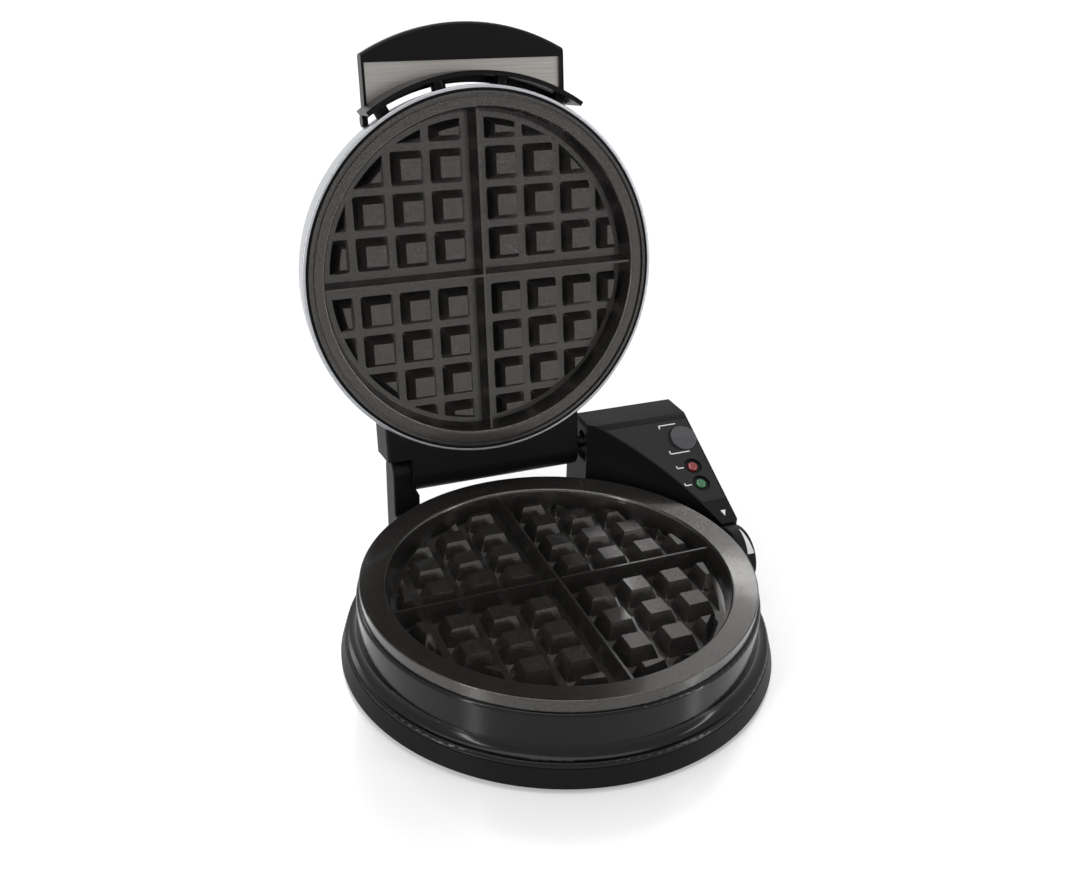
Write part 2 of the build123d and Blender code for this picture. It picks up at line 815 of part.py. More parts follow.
# Colour dial, its shaft and the control that it sets
with BuildPart() as colour_dial:
    with BuildSketch(Plane.YZ.offset(dial_left)):
        with Locations((dial_y, dial_z)):
            Circle(dial_r)
    extrude(amount=dial_right - dial_left)
    chamfer(colour_dial.edges(), 0.8)
    with BuildSketch(Plane.YZ.offset(dial_left)):
        with Locations((dial_y, dial_z)):
            Circle(dial_r - dial_rim)
            Circle(dial_hub_r, mode=Mode.SUBTRACT)
    extrude(amount=dial_right - dial_left - dial_web, mode=Mode.SUBTRACT)
    with BuildSketch(Plane.YZ.offset(dial_left)):
        with Locations((dial_y, dial_z)):
            Circle(dial_shaft_r)
    extrude(amount=dial_right - dial_left - dial_web, mode=Mode.SUBTRACT)
save(colour_dial.part, "colour_dial")

with BuildPart() as dial_shaft:
    with BuildSketch(Plane.YZ.offset(shaft_end_x)):
        with Locations((dial_y, dial_z)):
            Circle(dial_shaft_r)
    extrude(amount=dial_right - dial_web - shaft_end_x)
save(dial_shaft.part, "dial_shaft")

with BuildPart() as colour_control:
    block(
        (control_left, dial_y - control_size / 2, dial_z - control_size / 2),
        (control_right, dial_y + control_size / 2, dial_z + control_size / 2),
    )
    fillet(colour_control.edges().filter_by(Axis.X), 1.5)
    with BuildSketch(Plane.YZ.offset(control_right)):
        with Locations((dial_y, dial_z)):
            Circle(bush_r)
    extrude(amount=dial_wall_x - pan_wall - seat_gap - control_right)
    with BuildSketch(Plane.YZ.offset(shaft_end_x - fit_gap)):
        with Locations((dial_y, dial_z)):
            Circle(dial_shaft_r + running_gap)
    extrude(amount=dial_left - shaft_end_x, mode=Mode.SUBTRACT)
save(colour_control.part, "colour_control")

# Hinge post at the left rear and the rod that floats in the two slots
with BuildPart() as hinge_post:
    block(
        (post_left, hinge_y - post_half, parting_z),
        (post_right, hinge_y + post_half, hinge_z),
    )
    with BuildSketch(Plane.YZ.offset(post_left)):
        with Locations((hinge_y, hinge_z)):
            Circle(post_half)
    extrude(amount=post_right - post_left)
    block(
        (post_left, hinge_y - post_half, parting_z),
        (post_shelf_right, hinge_y + post_half, post_shelf_z),
    )
    block(
        (post_left, post_front_y, parting_z),
        (post_shelf_right, hinge_y - post_half, post_foot_z),
    )
    fillet(hinge_post.edges().filter_by(Axis.Z).group_by(Axis.X)[0], 1.2)
    add(base_body(seat_gap), mode=Mode.SUBTRACT)
    with BuildSketch(Plane.XY.offset(parting_z)):
        Circle(flange_r + seat_gap)
    extrude(amount=flange_rise + parting_gap, mode=Mode.SUBTRACT)
    add(
        slot_block(running_gap, pin_reach).moved(Location((post_right - pin_reach, 0, 0))),
        mode=Mode.SUBTRACT,
    )
    with BuildSketch(Plane.XY.offset(parting_z)):
        with Locations(((post_left + post_shelf_right) / 2, hinge_y)):
            Rectangle(post_shelf_right - post_left - 2 * housing_wall, 2 * post_half - 2 * housing_wall)
    extrude(amount=post_shelf_z - housing_wall - parting_z, mode=Mode.SUBTRACT)
save(hinge_post.part, "hinge_post")

rod_left = post_right - pin_reach + rod_end_gap
rod_right = tower_left + slot_recess + pin_reach - rod_end_gap
with BuildPart() as hinge_rod:
    with BuildSketch(Plane.YZ.offset(rod_left)):
        with Locations((hinge_y, hinge_z)):
            Circle(pin_r)
    extrude(amount=rod_right - rod_left)
    chamfer(hinge_rod.edges(), 0.5)
save(hinge_rod.part, "hinge_rod")

# Cord entry and terminal block
with BuildPart() as cord_gland:
    with BuildSketch(gland_plane.offset(wall_foot_r + fit_gap)):
        Circle(gland_flange_r)
    extrude(amount=gland_flange)
    with BuildSketch(gland_plane.offset(wall_foot_r + fit_gap - gland_length + gland_flange)):
        Circle(gland_r)
    extrude(amount=gland_length)
    with BuildSketch(gland_plane.offset(seat_ring_r - gland_length)):
        Circle(gland_bore_r)
    extrude(amount=3 * gland_length, mode=Mode.SUBTRACT)
save(cord_gland.part, "cord_gland")

with BuildPart() as terminal_block:
    with BuildSketch(Plane.XY.offset(pan_cavity_z)):
        with Locations(block_place):
            Rectangle(block_length, block_width)
    extrude(amount=block_height)
    with BuildSketch(Plane.XY.offset(pan_cavity_z + block_height)):
        with Locations(block_place):
            with GridLocations(block_length / 3, block_width / 2, 3, 2):
                Circle(1.8)
    extrude(amount=-4, mode=Mode.SUBTRACT)
save(terminal_block.part, "terminal_block")


def lid_outline(inset, foot_r, foot_z):
    """Closed outline of the lid's outer profile moved inwards by inset."""
    turn_r = lid_round - inset
    mid = turn_r * math.sin(math.radians(45))
    centre_r = lid_wall_top_r - lid_round
    with BuildSketch(Plane.XZ) as profile:
        with BuildLine():
            Line((0, foot_z), (foot_r, foot_z))
            Line((foot_r, foot_z), (centre_r + turn_r, lid_shoulder_z))
            ThreePointArc(
                (centre_r + turn_r, lid_shoulder_z),
                (centre_r + mid, lid_shoulder_z + mid),
                (centre_r, lid_shoulder_z + turn_r),
            )
            Line((centre_r, lid_shoulder_z + turn_r), (0, lid_shoulder_z + turn_r))
            Line((0, lid_shoulder_z + turn_r), (0, foot_z))
        make_face()
    return profile.sketch


def lid_solid(inset, foot_r, foot_z):
    """Solid inside the lid's outer profile moved inwards by inset."""
    with BuildPart() as solid:
        add(lid_outline(inset, foot_r, foot_z))
        revolve(axis=Axis.Z)
    return solid.part


lid_envelope = lid_solid(0, lid_r, lid_edge_z)
lid_cavity = lid_solid(sheet, lid_r - sheet - 0.2, lid_edge_z + hem_width)


def radial_rods(turns, z, start_r, length, radius):
    """Round rods that point outwards from the Z axis."""
    with BuildPart() as rods:
        for turn in turns:
            a = math.radians(turn)
            out = Vector(math.cos(a), math.sin(a), 0)
            with BuildSketch(Plane(origin=out * start_r + Vector(0, 0, z), z_dir=out)):
                Circle(radius)
            extrude(amount=length)
    return rods.part


handle_turns = [-90 + turn for turn in rib_turns]
screw_turns = [*handle_turns, *bridge_turns]

# Lid shell
with BuildPart() as lid_shell:
    add(lid_envelope)
    fillet(lid_shell.edges().filter_by(GeomType.CIRCLE).group_by(Axis.Z)[0], 0.9)
    add(lid_cavity, mode=Mode.SUBTRACT)
    with BuildSketch(Plane.XY.offset(lid_edge_z)):
        Circle(lid_r - hem_width)
    extrude(amount=2 * hem_width, mode=Mode.SUBTRACT)
    add(
        radial_rods(screw_turns, lid_screw_z, screw_hole_r, 6, screw_shaft_r + fit_gap),
        mode=Mode.SUBTRACT,
    )
save_open(lid_shell.part, "lid_shell")

# Ring inside the lid's edge with the ledge that the upper plate sits on
rim_screw_places = [
    (
        (upper_bead_r + ledge_in_r) / 2 * math.cos(math.radians(turn)),
        (upper_bead_r + ledge_in_r) / 2 * math.sin(math.radians(turn)),
    )
    for turn in (0, 90, 180, 270)
]
with BuildPart() as bezel_room:
    add(lid_cavity)
    with BuildSketch(Plane.XY.offset(bezel_edge_z)):
        Circle(bezel_out_r)
    extrude(amount=4)

with BuildPart() as lid_bezel:
    add(turned([
        (bezel_in_r, bezel_edge_z),
        (bezel_out_r, bezel_edge_z),
        (bezel_out_r, upper_ledge_z - bezel_step),
        (lid_r, upper_ledge_z),
        (lid_r, upper_ledge_z + ledge_sheet),
        (ledge_in_r, upper_ledge_z + ledge_sheet),
        (ledge_in_r, upper_ledge_z),
        (bezel_in_r, upper_ledge_z),
    ]))
    add(bezel_room.part, mode=Mode.INTERSECT)
    with BuildSketch(Plane.XY.offset(upper_ledge_z)):
        with Locations(*rim_screw_places):
            Circle(rim_screw_r + fit_gap)
    extrude(amount=ledge_sheet, mode=Mode.SUBTRACT)
save_open(lid_bezel.part, "lid_bezel")

# Upper cooking plate
upper_rim = [
    (upper_ring_r, upper_ring_rise),
    (upper_ring_r + upper_ring_step, upper_groove_rise),
    (upper_bead_r - upper_ring_step, upper_groove_rise),
    (upper_bead_r, upper_bead_rise),
    (upper_rim_r, upper_bead_rise),
    (upper_rim_r, -upper_rim_depth),
    (upper_ring_r - upper_skirt, -upper_rim_depth),
    (upper_ring_r - upper_skirt, upper_ring_rise - plate_wall),
]
with BuildPart() as upper_plate:
    face_up = grid_plate(upper_rim, upper_ring_rise)
    add(face_up.rotate(Axis.X, 180).moved(Location((0, 0, upper_crest_z))))
    with BuildSketch(Plane.XY.offset(upper_ledge_z)):
        with Locations(*rim_screw_places):
            Circle(rim_screw_r + fit_gap)
    extrude(amount=-rim_thread - seat_gap, mode=Mode.SUBTRACT)
save_open(upper_plate.part, "upper_grid_plate")

with BuildPart() as rim_screws:
    with BuildSketch(Plane.XY.offset(upper_ledge_z + ledge_sheet)):
        with Locations(*rim_screw_places):
            Circle(rim_head_r)
    extrude(amount=rim_head_h)
    with BuildSketch(Plane.XY.offset(upper_ledge_z + ledge_sheet)):
        with Locations(*rim_screw_places):
            Circle(rim_screw_r)
    extrude(amount=-ledge_sheet - rim_thread)
save_open(rim_screws.part, "upper_rim_screws")

# Upper heater, its sheet metal pan, spacers and screws
save_open(element(upper_under_z + element_tube_r + running_gap), "upper_heating_element")

with BuildPart() as upper_reflector:
    add(turned([
        (0, lid_pan_z),
        (lid_pan_r - sheet * 0.4, lid_pan_z),
        (lid_pan_r + heater_pan_rim - sheet, lid_pan_z - heater_pan_rim),
        (lid_pan_r + heater_pan_rim, lid_pan_z - heater_pan_rim),
        (lid_pan_r, lid_pan_z + sheet),
        (0, lid_pan_z + sheet),
    ]))
    with BuildSketch(Plane.XY.offset(lid_pan_z)):
        with Locations(*inner_studs):
            Circle(screw_shaft_r + fit_gap)
    extrude(amount=sheet, mode=Mode.SUBTRACT)
save_open(upper_reflector.part, "upper_reflector")

save_open(spacers(upper_under_z, lid_pan_z), "upper_spacers")
upper_screw_length = lid_pan_z + sheet - upper_under_z + thread_depth - 1
save_open(
    long_screws(inner_studs, lid_pan_z + sheet, upper_screw_length, False),
    "upper_plate_screws",
)

# Bridge between the lid and the hinge rod
with BuildPart() as hinge_bridge:
    block(
        (bridge_left, bridge_front_y, hinge_z - bar_r),
        (bar_left, hinge_y - post_half - post_clearance, hinge_z + bar_r),
    )
    block(
        (bar_left, bridge_front_y, hinge_z - bar_r),
        (bar_right, hinge_y, hinge_z + bar_r),
    )
    with BuildSketch(Plane.YZ.offset(bar_left)):
        with Locations((hinge_y, hinge_z)):
            Circle(bar_r)
    extrude(amount=bar_right - bar_left)
    fillet(hinge_bridge.edges().filter_by(Axis.Y).group_by(Axis.X)[0], 2)
    add(lid_envelope, mode=Mode.SUBTRACT)
    with BuildSketch(Plane.YZ.offset(bar_left)):
        with Locations((hinge_y, hinge_z)):
            Circle(pin_r + running_gap)
    extrude(amount=bar_right - bar_left, mode=Mode.SUBTRACT)
    add(
        radial_rods(
            bridge_turns, lid_screw_z, screw_hole_r, bridge_hole_length, screw_shaft_r + fit_gap
        ),
        mode=Mode.SUBTRACT,
    )
save_open(hinge_bridge.part, "hinge_bridge")


def guard_ring():
    """Curved guard below the handle's deck."""
    with BuildPart() as guard:
        with BuildSketch(Plane.XZ):
            with Locations(((guard_in_r + guard_out_r) / 2, (guard_low_z + handle_deck_z) / 2)):
                Rectangle(guard_out_r - guard_in_r, handle_deck_z - guard_low_z)
        revolve(axis=Axis.Z, revolution_arc=2 * guard_deg)
    return guard.part.rotate(Axis.Z, -90 - guard_deg)


# Handle
with BuildPart() as handle:
    with BuildSketch(Plane.XY.offset(handle_low_z)):
        with BuildLine():
            ThreePointArc(
                (-handle_half, handle_side_y),
                (0, handle_tip_y),
                (handle_half, handle_side_y),
            )
            Polyline(
                (handle_half, handle_side_y),
                (handle_half, handle_root_y),
                (-handle_half, handle_root_y),
                (-handle_half, handle_side_y),
            )
        make_face()
    extrude(amount=handle_top_z - handle_low_z)
    fillet(handle.edges().filter_by(GeomType.CIRCLE), 2.2)
    block(
        (-handle_half + handle_arm, handle_chord_y, handle_low_z),
        (handle_half - handle_arm, handle_root_y, handle_deck_z),
        mode=Mode.SUBTRACT,
    )
    with BuildSketch(Plane.XY.offset(handle_low_z)):
        Circle(deck_slit_r)
    extrude(amount=2 * lid_round, mode=Mode.SUBTRACT)
    for low_x in (-handle_half, handle_half - handle_arm):
        block(
            (low_x, handle_arm_y - arm_front, handle_low_z),
            (low_x + handle_arm, handle_arm_y + arm_back, handle_top_z),
        )
    for face_x, way in ((-handle_half, -1), (handle_half, 1)):
        with BuildSketch(Plane.YZ.offset(face_x)):
            with Locations((handle_arm_y + 1, (handle_low_z + handle_top_z) / 2)):
                Circle(arm_boss_r)
        extrude(amount=way * arm_boss_rise)
    add(guard_ring())
    add(radial_rods(handle_turns, lid_screw_z, screw_hole_r, guard_out_r - screw_hole_r - 1, rib_width))
    add(lid_envelope, mode=Mode.SUBTRACT)
    add(
        radial_rods(
            handle_turns, lid_screw_z, screw_hole_r, handle_hole_length, screw_shaft_r + fit_gap
        ),
        mode=Mode.SUBTRACT,
    )
save_open(handle.part, "handle")

with BuildPart() as handle_plate:
    block(
        (-handle_half + handle_arm, handle_chord_y, handle_deck_z - handle_sheet),
        (handle_half - handle_arm, handle_root_y, handle_deck_z),
    )
    with BuildSketch(Plane.XY.offset(guard_low_z)):
        Circle(guard_out_r)
    extrude(amount=handle_top_z, mode=Mode.SUBTRACT)
save_open(handle_plate.part, "handle_plate")

with BuildPart() as lid_screws:
    add(
        radial_rods(
            screw_turns,
            lid_screw_z,
            lid_screw_r - screw_head_h,
            screw_head_h,
            screw_head_r,
        )
    )
    add(
        radial_rods(
            screw_turns,
            lid_screw_z,
            lid_screw_r,
            lid_screw_length,
            screw_shaft_r,
        )
    )
save_open(lid_screws.part, "lid_screws")
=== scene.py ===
"""Looks of a round waffle maker that stands open, built around its fixed CAD frame."""
import math

import bmesh
import bpy
from mathutils import Matrix, Vector


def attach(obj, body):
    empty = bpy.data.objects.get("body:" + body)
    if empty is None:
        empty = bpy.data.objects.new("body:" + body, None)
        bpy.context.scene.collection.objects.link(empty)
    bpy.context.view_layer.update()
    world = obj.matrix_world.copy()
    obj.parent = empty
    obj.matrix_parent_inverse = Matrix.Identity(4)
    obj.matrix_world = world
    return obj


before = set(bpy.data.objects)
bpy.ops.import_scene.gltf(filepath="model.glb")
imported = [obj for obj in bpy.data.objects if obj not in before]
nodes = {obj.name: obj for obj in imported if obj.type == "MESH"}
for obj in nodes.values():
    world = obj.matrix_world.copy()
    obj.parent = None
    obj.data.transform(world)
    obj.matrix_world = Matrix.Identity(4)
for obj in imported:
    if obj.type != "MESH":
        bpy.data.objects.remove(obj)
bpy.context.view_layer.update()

MM = 0.001

# Sizes repeated from the part, in millimetres and degrees
DIAL_AXIS_Y, DIAL_AXIS_Z = 11.0, 21.4
DIAL_R = 17.5
SLOPE_FOOT_Y, SLOPE_FOOT_Z = 21.5, 37.1
SLOPE_DEG = 27.6

# Camera, fitted to the rims of both cooking plates, in millimetres and degrees
CAMERA_PLACE = (-201.5, -447.2, 366.7)
CAMERA_YAW = 22.89
CAMERA_PITCH = 26.86
CAMERA_ROLL = 1.64
FOCAL_PX = 1120.0
FRAME_WIDTH_PX = 1080.0
SENSOR_MM = 36.0


def linear(code):
    """Linear colour of an sRGB hex value."""
    parts = [int(code[i:i + 2], 16) / 255 for i in (1, 3, 5)]
    return [c / 12.92 if c <= 0.04045 else ((c + 0.055) / 1.055) ** 2.4 for c in parts] + [1.0]


def add_node(tree, kind, links=None, **settings):
    """Adds a node: settings name its properties or input sockets, and links its incoming ones."""
    node = tree.nodes.new(kind)
    for name, value in settings.items():
        if hasattr(node, name):
            setattr(node, name, value)
        else:
            node.inputs[name.replace("_", " ")].default_value = value
    for name, source in (links or {}).items():
        key = name if isinstance(name, int) else name.replace("_", " ")
        tree.links.new(source, node.inputs[key])
    return node


def new_material(name, **surface):
    """Material with its tree and its shader, whose sockets take the surface's constants."""
    material = bpy.data.materials.new(name)
    material.use_nodes = True
    tree = material.node_tree
    shader = tree.nodes["Principled BSDF"]
    for socket, value in surface.items():
        shader.inputs[socket.replace("_", " ")].default_value = value
    return material, tree, shader


def paint(material, *names):
    """Gives CAD nodes one material."""
    for name in names:
        nodes[name].data.materials.clear()
        nodes[name].data.materials.append(material)


# Places on the noise's range where a surface's dark and light tones are full
MOULDED_SPREAD = (0.4, 0.62)
COATING_SPREAD = (0.42, 0.7)
BRUSHED_SPREAD = (0.3, 0.7)
LENS_SPREAD = (0.3, 0.75)

NOISE_ROUGHNESS = 0.6
# Grains as long as they are wide
EVEN = (1.0, 1.0, 1.0)


def grain(tree, shader, low, high, grain_mm, spread, depth_mm=0.0, stretch=EVEN, detail=2.0):
    """Colours a surface in grains of two tones, grain_mm across, raised by depth_mm where given.

    A stretch below 1 along an axis draws the grains out into streaks along it.
    """
    place = add_node(tree, "ShaderNodeTexCoord")
    squeeze = add_node(
        tree, "ShaderNodeMapping", {"Vector": place.outputs["Object"]}, Scale=stretch,
    )
    noise = add_node(
        tree, "ShaderNodeTexNoise", {"Vector": squeeze.outputs["Vector"]},
        Scale=1 / (grain_mm * MM), Detail=detail, Roughness=NOISE_ROUGHNESS,
    )
    ramp = add_node(tree, "ShaderNodeValToRGB", {"Fac": noise.outputs["Fac"]})
    for stop, where, code in zip(ramp.color_ramp.elements, spread, (low, high)):
        stop.position = where
        stop.color = linear(code)
    tree.links.new(ramp.outputs["Color"], shader.inputs["Base Color"])
    if depth_mm:
        bump = add_node(
            tree, "ShaderNodeBump", {"Height": noise.outputs["Fac"]},
            Strength=1.0, Distance=depth_mm * MM,
        )
        tree.links.new(bump.outputs["Normal"], shader.inputs["Normal"])


PLASTIC_IOR = 1.5

# Share of a bare plastic's shine that a mould's fine texture leaves
MOULDED_SHINE = 0.1


def moulded(name, low, high, roughness, grain_mm, depth_mm, shine=MOULDED_SHINE):
    """Moulded or printed surface: two close tones, and a faint relief that breaks up its shine."""
    material, tree, shader = new_material(
        name, Roughness=roughness, IOR=PLASTIC_IOR, Specular_IOR_Level=shine,
    )
    grain(tree, shader, low, high, grain_mm, MOULDED_SPREAD, depth_mm)
    return material


# Body of injection moulded ABS: near black and dull, from the mould's spark texture. Its grain,
# and that of the other plastics, is a little coarser than the real one so that it shows
matte_abs = moulded(
    "spark_textured_black_abs", "#0b0b0c", "#141415", roughness=0.46, grain_mm=0.5, depth_mm=0.02,
)
# Handle from a smoother mould: a soft streak of light runs along the grip
satin_abs = moulded(
    "satin_black_abs", "#0a0a0b", "#0f0f10", roughness=0.3, grain_mm=0.8, depth_mm=0.006,
)
# Base wall from a polished mould: deep black with clear reflections, over slow waves 9 mm long
gloss_abs = moulded(
    "polished_black_abs", "#060607", "#09090a", roughness=0.15, grain_mm=9.0, depth_mm=0.01,
    shine=0.22,
)
# Dial from a ground mould: a shade greyer than the tower round it
dial_abs = moulded(
    "ground_black_abs_dial", "#101011", "#19191a", roughness=0.4, grain_mm=0.6, depth_mm=0.02,
)
# Rocker of black ABS painted dark grey, a painted sheen for the light that it catches, with more
# shine than the panel round it
rocker_abs = moulded(
    "black_abs_rocker_painted_sheen", "#343437", "#454549", roughness=0.36, grain_mm=0.6,
    depth_mm=0.015, shine=0.4,
)
# Polycarbonate film glued to the slope: even black, flatter than the plastic round it
label_film = moulded(
    "black_polycarbonate_label_film", "#121214", "#1a1a1c", roughness=0.36, grain_mm=0.5,
    depth_mm=0.008, shine=0.2,
)
# Moulded rubber: black with hardly any shine
rubber = moulded(
    "moulded_black_rubber", "#0d0d0d", "#151515", roughness=0.75, grain_mm=0.7, depth_mm=0.02,
)
# Moulded phenolic of the electrical fittings: a plain cream white
phenolic = moulded(
    "white_moulded_phenolic", "#ddd6c6", "#e8e2d4", roughness=0.5, grain_mm=1.0, depth_mm=0.01,
)
# Glass fibre board under green lacquer, with the weave just showing
board = moulded(
    "lacquered_circuit_board", "#1c5a36", "#22683f", roughness=0.35, grain_mm=1.2, depth_mm=0.01,
)
# Pad printed ink: flat off-white on the black panel
ink = moulded(
    "white_pad_print_ink", "#e2e2e0", "#efefed", roughness=0.55, grain_mm=0.4, depth_mm=0.004,
)
paint(matte_abs, "base_pan", "hinge_post", "hinge_bridge", "lid_bezel", "control_housing",
      "texture_switch", "sounder")
paint(satin_abs, "handle")
paint(gloss_abs, "base_housing")
paint(dial_abs, "colour_dial")
paint(rocker_abs, "texture_rocker")
paint(label_film, "control_label_plate")
paint(rubber, "rubber_feet", "cord_gland")
paint(phenolic, "heat_sensor", "colour_control", "terminal_block")
paint(board, "circuit_board")

# Flakes are 0.2 mm on the real coating, drawn at 0.45 mm so that they show
COATING_GRAIN_MM = 0.45
COATING_DEPTH_MM = 0.012


def nonstick(name, low, high):
    """PTFE sprayed on cast aluminium: dark warm grey with light flakes under a thin clear shine."""
    material, tree, shader = new_material(
        name, Metallic=0.7, Roughness=0.25, IOR=1.38, Coat_Weight=0.5, Coat_Roughness=0.09,
    )
    grain(tree, shader, low, high, COATING_GRAIN_MM, COATING_SPREAD, COATING_DEPTH_MM)
    return material


coating = nonstick("sprayed_ptfe_on_cast_aluminium", "#232222", "#615e5a")
paint(coating, "lower_grid_plate", "upper_grid_plate")

STEEL_DEPTH_MM = 0.01
LONG_STREAKS = (0.02, 1.0, 1.0)
SHORT_STREAKS = (0.05, 1.0, 1.0)


def bare_steel(name, low, high, roughness, grain_mm, stretch=EVEN):
    """Bare steel: two close greys in streaks or spangle, with a broad soft shine."""
    material, tree, shader = new_material(name, Metallic=1.0, Roughness=roughness)
    grain(tree, shader, low, high, grain_mm, BRUSHED_SPREAD, STEEL_DEPTH_MM, stretch, detail=3.0)
    return material


# Rolled and brushed stainless sheet: fine bright streaks from side to side
lid_steel = bare_steel(
    "brushed_stainless_lid", "#9a9ca0", "#b9bbbe", roughness=0.3, grain_mm=0.6,
    stretch=LONG_STREAKS,
)
# The same sheet on the handle, a little darker and warmer
plate_steel = bare_steel(
    "brushed_stainless_handle_plate", "#8f8c89", "#a09d99", roughness=0.3, grain_mm=0.6,
    stretch=LONG_STREAKS,
)
# Rod and shaft, ground bright: short streaks under the sharpest shine
ground_steel = bare_steel(
    "ground_steel_rod", "#b5b6b8", "#cfd0d2", roughness=0.22, grain_mm=0.5,
    stretch=SHORT_STREAKS,
)
# Aluminised sheet of the reflectors: pale, with a faint spangle
pan_steel = bare_steel(
    "aluminised_steel_sheet", "#a9acae", "#bdbfc1", roughness=0.36, grain_mm=2.0,
)
# Zinc plating on screws and spacers: even pale grey
screw_steel = bare_steel(
    "zinc_plated_steel", "#a2a4a5", "#bcbdbd", roughness=0.34, grain_mm=1.0,
)
# Heater tubes, dulled by heat: patchy brownish grey
heater_steel = bare_steel(
    "heat_dulled_steel_tube", "#6b6862", "#8b8680", roughness=0.42, grain_mm=1.5,
)
paint(lid_steel, "lid_shell")
paint(plate_steel, "handle_plate")
paint(ground_steel, "hinge_rod", "dial_shaft")
paint(pan_steel, "lower_reflector", "upper_reflector")
paint(screw_steel, "base_screws", "lower_spacers", "lower_plate_screws", "upper_rim_screws",
      "upper_spacers", "upper_plate_screws", "lid_screws")
paint(heater_steel, "lower_heating_element", "upper_heating_element")

# Slow patches of colour that stand for the lamp's glow inside a lens
LENS_PATCH_MM = 1.6


def lamp_lens(name, colour, glow):
    """Tinted polycarbonate over a small lamp: deep colour with a crisp shine."""
    material, tree, shader = new_material(
        name, Roughness=0.12, IOR=1.58, Coat_Weight=0.3, Coat_Roughness=0.05,
    )
    grain(tree, shader, colour, glow, LENS_PATCH_MM, LENS_SPREAD)
    return material


paint(lamp_lens("red_polycarbonate_lens", "#5e0b09", "#a01d18"), "power_lamp_lens")
paint(lamp_lens("green_polycarbonate_lens", "#0a3f1f", "#1c7a40"), "ready_lamp_lens")
paint(lamp_lens("clear_lamp_glass", "#d8d2c4", "#f0ece2"), "indicator_lamps")

# Rounding that the casting and the moulds leave on sharp edges
CAST_EDGE_MM = 0.35
MOULDED_EDGE_MM = 0.4
SHARP_DEG = 28
EDGE_FACES = 2
# The CAD mesh is joined up and its flat faces made whole first, so that they shade evenly
JOIN_MM = 0.002
FLAT_DEG = 0.3
LARGE_FACE_WEIGHT = 80


def soften_edges(name, width_mm):
    """Rounds a CAD node's sharp edges, as its mould leaves them, so that they catch the light."""
    node = nodes[name]
    weld = node.modifiers.new("weld", "WELD")
    weld.merge_threshold = JOIN_MM * MM
    merge = node.modifiers.new("flat_faces", "DECIMATE")
    merge.decimate_type = "DISSOLVE"
    merge.angle_limit = math.radians(FLAT_DEG)
    bevel = node.modifiers.new("soft_edges", "BEVEL")
    bevel.width = width_mm * MM
    bevel.segments = EDGE_FACES
    bevel.limit_method = "ANGLE"
    bevel.angle_limit = math.radians(SHARP_DEG)
    bevel.use_clamp_overlap = True
    smooth = node.modifiers.new("even_shading", "WEIGHTED_NORMAL")
    smooth.weight = LARGE_FACE_WEIGHT


for plate in ("lower_grid_plate", "upper_grid_plate"):
    soften_edges(plate, CAST_EDGE_MM)
for part in ("control_housing", "hinge_bridge", "hinge_post", "handle"):
    soften_edges(part, MOULDED_EDGE_MM)

# Printed marks, in millimetres: thin closed plates of ink, just clear of the panel
INK_MM = 0.06
PRINT_LIFT_MM = 0.01
LINE_MM = 0.7
SLOPE_ANGLE = math.radians(SLOPE_DEG)
SLOPE_OUT = Vector((0, -math.sin(SLOPE_ANGLE), math.cos(SLOPE_ANGLE)))

# Plain brackets beside the controls, by the x and y of their bends
BRACKETS = {
    "rocker_upper": [(112.6, 86.4), (101.2, 86.4), (101.2, 84.4)],
    "rocker_lower": [(113.2, 67.8), (100.6, 67.8), (100.6, 69.8)],
    "red_lamp": [(104.6, 58.3), (100.4, 58.3), (100.4, 59.8)],
    "green_lamp": [(104.6, 47.3), (100.4, 47.3), (100.4, 48.8)],
}
# Triangle above the dial that points at its setting
POINTER_CORNERS = [(114.2, 29.4), (115.5, 25.8), (117.4, 29.2)]


def slope_point(x, y):
    """Place on the tower's slope at x and y, lifted just clear of it."""
    z = SLOPE_FOOT_Z + (y - SLOPE_FOOT_Y) * math.tan(SLOPE_ANGLE)
    return Vector((x, y, z)) + PRINT_LIFT_MM * SLOPE_OUT


def inked(name, shape):
    """Piece of ink from a closed bmesh shape, which is freed."""
    bmesh.ops.recalc_face_normals(shape, faces=shape.faces)
    mesh = bpy.data.meshes.new(name)
    shape.to_mesh(mesh)
    shape.free()
    mesh.materials.append(ink)
    piece = bpy.data.objects.new(name, mesh)
    bpy.context.scene.collection.objects.link(piece)
    return piece


def printed_shape(name, corners, body):
    """Thin plate of ink with the given corners, in millimetres, that moves with a body."""
    shape = bmesh.new()
    face = shape.faces.new([shape.verts.new(corner * MM) for corner in corners])
    shape.normal_update()
    raised = bmesh.ops.extrude_face_region(shape, geom=[face])
    fresh = [item for item in raised["geom"] if isinstance(item, bmesh.types.BMVert)]
    bmesh.ops.translate(shape, verts=fresh, vec=face.normal * INK_MM * MM)
    piece = inked(name, shape)
    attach(piece, body)


def printed_line(name, start, end):
    """Straight line of ink on the slope between two places."""
    a, b = (slope_point(*place) for place in (start, end))
    side = (b - a).cross(SLOPE_OUT).normalized() * LINE_MM / 2
    printed_shape(name, [a - side, a + side, b + side, b - side], "base")


for bracket, route in BRACKETS.items():
    for step, (start, end) in enumerate(zip(route, route[1:])):
        printed_line(f"bracket_{bracket}_{step}", start, end)
printed_shape("dial_pointer_mark", [slope_point(x, y) for x, y in POINTER_CORNERS], "base")

# The dial's wedge: its middle in x, its ends round the rim, and its half widths there
WEDGE_X = 115.75
WEDGE_START_DEG, WEDGE_END_DEG = 91.0, 146.5
WEDGE_TIP_MM, WEDGE_WIDE_MM = 0.15, 2.0
WEDGE_SUNK_MM, WEDGE_PROUD_MM = 0.05, 0.06
WEDGE_STEPS = 14


